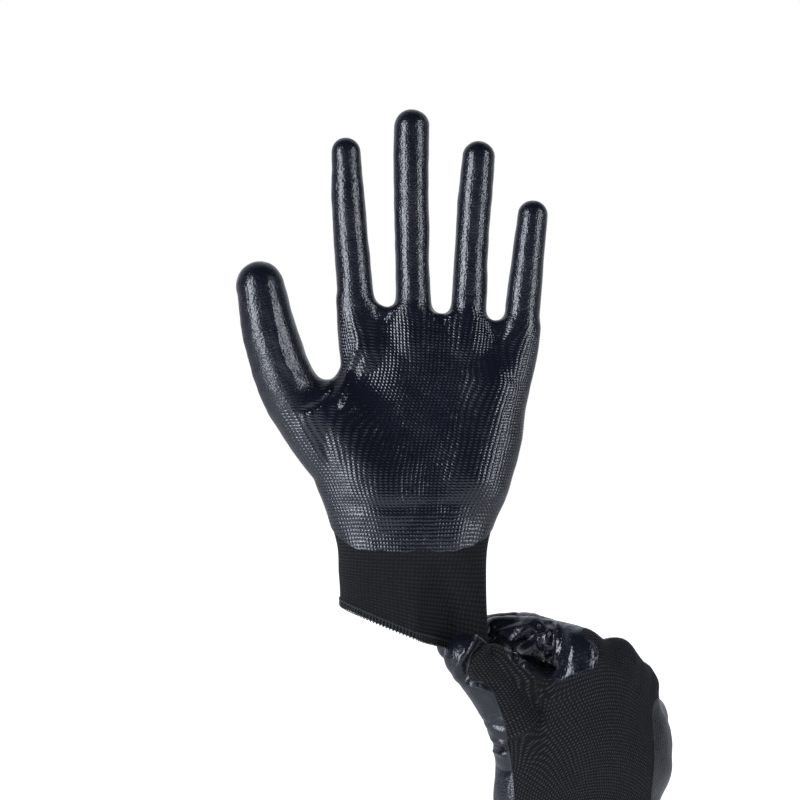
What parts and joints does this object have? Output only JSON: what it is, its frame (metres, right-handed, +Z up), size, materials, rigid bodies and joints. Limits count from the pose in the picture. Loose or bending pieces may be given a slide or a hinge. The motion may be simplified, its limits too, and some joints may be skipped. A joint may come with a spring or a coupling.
{
  "type": "coated knitted gloves",
  "caption": "Pair of thin black knitted gloves with dipped nitrile palms and elastic cuffs, one held upright and the other pinching its cuff.",
  "frame": {"origin": "centre of the left glove's wrist opening, where a wearer's or a form's wrist holds it", "axes": "+Z up the left glove from its cuff to its middle fingertip, -Y out of its palm, +X towards its little finger; the right glove lies below and to the +X side"},
  "size_m": [0.2039, 0.0921, 0.388],
  "materials": {
    "knit": "matte black 13-gauge knitted nylon",
    "nitrile": "glossy blue-black nitrile that follows the stitches under it",
    "cuff": "matte black ribbed nylon with laid-in elastic",
    "hem": "black overlock thread",
    "elastic": "nylon-covered rubber yarn"
  },
  "bodies": {
    "left_hand": {"left_hand_knit": "knit", "left_palm_skin": "nitrile", "left_cuff_knit": "cuff", "left_hem": "hem", "left_cuff_elastic": "elastic"},
    "right_hand": {"right_hand_knit": "knit", "right_palm_skin": "nitrile", "right_cuff_knit": "cuff", "right_hem": "hem", "right_cuff_elastic": "elastic"},
    "left_thumb_base": {"left_thumb_base_knit": "knit", "left_thumb_base_skin": "nitrile"},
    "left_thumb_tip": {"left_thumb_tip_knit": "knit", "left_thumb_tip_skin": "nitrile"},
    "left_index_base": {"left_index_base_knit": "knit", "left_index_base_skin": "nitrile"},
    "left_index_tip": {"left_index_tip_knit": "knit", "left_index_tip_skin": "nitrile"},
    "left_middle_base": {"left_middle_base_knit": "knit", "left_middle_base_skin": "nitrile"},
    "left_middle_tip": {"left_middle_tip_knit": "knit", "left_middle_tip_skin": "nitrile"},
    "left_ring_base": {"left_ring_base_knit": "knit", "left_ring_base_skin": "nitrile"},
    "left_ring_tip": {"left_ring_tip_knit": "knit", "left_ring_tip_skin": "nitrile"},
    "left_little_base": {"left_little_base_knit": "knit", "left_little_base_skin": "nitrile"},
    "left_little_tip": {"left_little_tip_knit": "knit", "left_little_tip_skin": "nitrile"},
    "right_thumb_base": {"right_thumb_base_knit": "knit", "right_thumb_base_skin": "nitrile"},
    "right_thumb_tip": {"right_thumb_tip_knit": "knit", "right_thumb_tip_skin": "nitrile"},
    "right_index_base": {"right_index_base_knit": "knit", "right_index_base_skin": "nitrile"},
    "right_index_tip": {"right_index_tip_knit": "knit", "right_index_tip_skin": "nitrile"},
    "right_middle_base": {"right_middle_base_knit": "knit", "right_middle_base_skin": "nitrile"},
    "right_middle_tip": {"right_middle_tip_knit": "knit", "right_middle_tip_skin": "nitrile"},
    "right_ring_base": {"right_ring_base_knit": "knit", "right_ring_base_skin": "nitrile"},
    "right_ring_tip": {"right_ring_tip_knit": "knit", "right_ring_tip_skin": "nitrile"},
    "right_little_base": {"right_little_base_knit": "knit", "right_little_base_skin": "nitrile"},
    "right_little_tip": {"right_little_tip_knit": "knit", "right_little_tip_skin": "nitrile"}
  },
  "joints": [
    {"name": "right_glove_pull", "type": "slide", "parent": "left_hand", "child": "right_hand", "axis": [0.5, 0, -0.866], "range_m": [0, 0.12]},
    {"name": "left_thumb_knuckle", "type": "hinge", "parent": "left_hand", "child": "left_thumb_base", "pos_m": [-0.05034, -0.01861, 0.10243], "axis": [0.9107, 0.2876, 0.2964], "range_deg": [0, 35]},
    {"name": "left_thumb_crease", "type": "hinge", "parent": "left_thumb_base", "child": "left_thumb_tip", "pos_m": [-0.05934, -0.02043, 0.13185], "axis": [0.9107, 0.2876, 0.2964], "range_deg": [0, 35]},
    {"name": "left_index_knuckle", "type": "hinge", "parent": "left_hand", "child": "left_index_base", "pos_m": [-0.02478, -0.0087, 0.14071], "axis": [0.9976, 0, 0.0698], "range_deg": [0, 75]},
    {"name": "left_index_crease", "type": "hinge", "parent": "left_index_base", "child": "left_index_tip", "pos_m": [-0.02686, -0.00998, 0.17047], "axis": [0.9976, 0, 0.0698], "range_deg": [0, 80]},
    {"name": "left_middle_knuckle", "type": "hinge", "parent": "left_hand", "child": "left_middle_base", "pos_m": [0.0012, -0.0085, 0.14324], "axis": [0.9999, 0, 0.0154], "range_deg": [0, 75]},
    {"name": "left_middle_crease", "type": "hinge", "parent": "left_middle_base", "child": "left_middle_tip", "pos_m": [0.00071, -0.00998, 0.17545], "axis": [0.9999, 0, 0.0154], "range_deg": [0, 80]},
    {"name": "left_ring_knuckle", "type": "hinge", "parent": "left_hand", "child": "left_ring_base", "pos_m": [0.02679, -0.0086, 0.14222], "axis": [0.9989, 0, -0.0459], "range_deg": [0, 75]},
    {"name": "left_ring_crease", "type": "hinge", "parent": "left_ring_base", "child": "left_ring_tip", "pos_m": [0.02817, -0.01008, 0.17244], "axis": [0.9989, 0, -0.0459], "range_deg": [0, 80]},
    {"name": "left_little_knuckle", "type": "hinge", "parent": "left_hand", "child": "left_little_base", "pos_m": [0.05038, -0.0084, 0.13424], "axis": [0.996, 0, -0.0894], "range_deg": [0, 75]},
    {"name": "left_little_crease", "type": "hinge", "parent": "left_little_base", "child": "left_little_tip", "pos_m": [0.05255, -0.00908, 0.15844], "axis": [0.996, 0, -0.0894], "range_deg": [0, 80]},
    {"name": "right_thumb_knuckle", "type": "hinge", "parent": "right_hand", "child": "right_thumb_base", "pos_m": [0.04416, -0.0232, -0.05589], "axis": [-0.8385, 0.3596, -0.4094], "range_deg": [-20, 0]},
    {"name": "right_thumb_crease", "type": "hinge", "parent": "right_thumb_base", "child": "right_thumb_tip", "pos_m": [0.03435, -0.0249, -0.0373], "axis": [-0.8385, 0.3596, -0.4094], "range_deg": [-20, 0]},
    {"name": "right_index_knuckle", "type": "hinge", "parent": "right_hand", "child": "right_index_base", "pos_m": [0.07893, 0.01077, -0.01116], "axis": [-0.0877, -0.2543, 0.9631], "range_deg": [-15, 0]},
    {"name": "right_index_crease", "type": "hinge", "parent": "right_index_base", "child": "right_index_tip", "pos_m": [0.05913, 0.03883, -0.00556], "axis": [-0.0877, -0.2543, 0.9631], "range_deg": [-20, 0]},
    {"name": "right_middle_knuckle", "type": "hinge", "parent": "right_hand", "child": "right_middle_base", "pos_m": [0.09412, 0.01995, -0.01547], "axis": [-0.4898, -0.3335, 0.8055], "range_deg": [-35, 0]},
    {"name": "right_middle_crease", "type": "hinge", "parent": "right_middle_base", "child": "right_middle_tip", "pos_m": [0.07579, 0.04873, -0.0147], "axis": [-0.4898, -0.3335, 0.8055], "range_deg": [-45, 0]},
    {"name": "right_ring_knuckle", "type": "hinge", "parent": "right_hand", "child": "right_ring_base", "pos_m": [0.10565, 0.03138, -0.0284], "axis": [-0.561, -0.2863, 0.7767], "range_deg": [-35, 0]},
    {"name": "right_ring_crease", "type": "hinge", "parent": "right_ring_base", "child": "right_ring_tip", "pos_m": [0.08862, 0.05988, -0.0302], "axis": [-0.561, -0.2863, 0.7767], "range_deg": [-45, 0]},
    {"name": "right_little_knuckle", "type": "hinge", "parent": "right_hand", "child": "right_little_base", "pos_m": [0.1123, 0.04276, -0.04647], "axis": [-0.7489, -0.2156, 0.6266], "range_deg": [-35, 0]},
    {"name": "right_little_crease", "type": "hinge", "parent": "right_little_base", "child": "right_little_tip", "pos_m": [0.10028, 0.06718, -0.05243], "axis": [-0.7489, -0.2156, 0.6266], "range_deg": [-45, 0]}
  ]
}
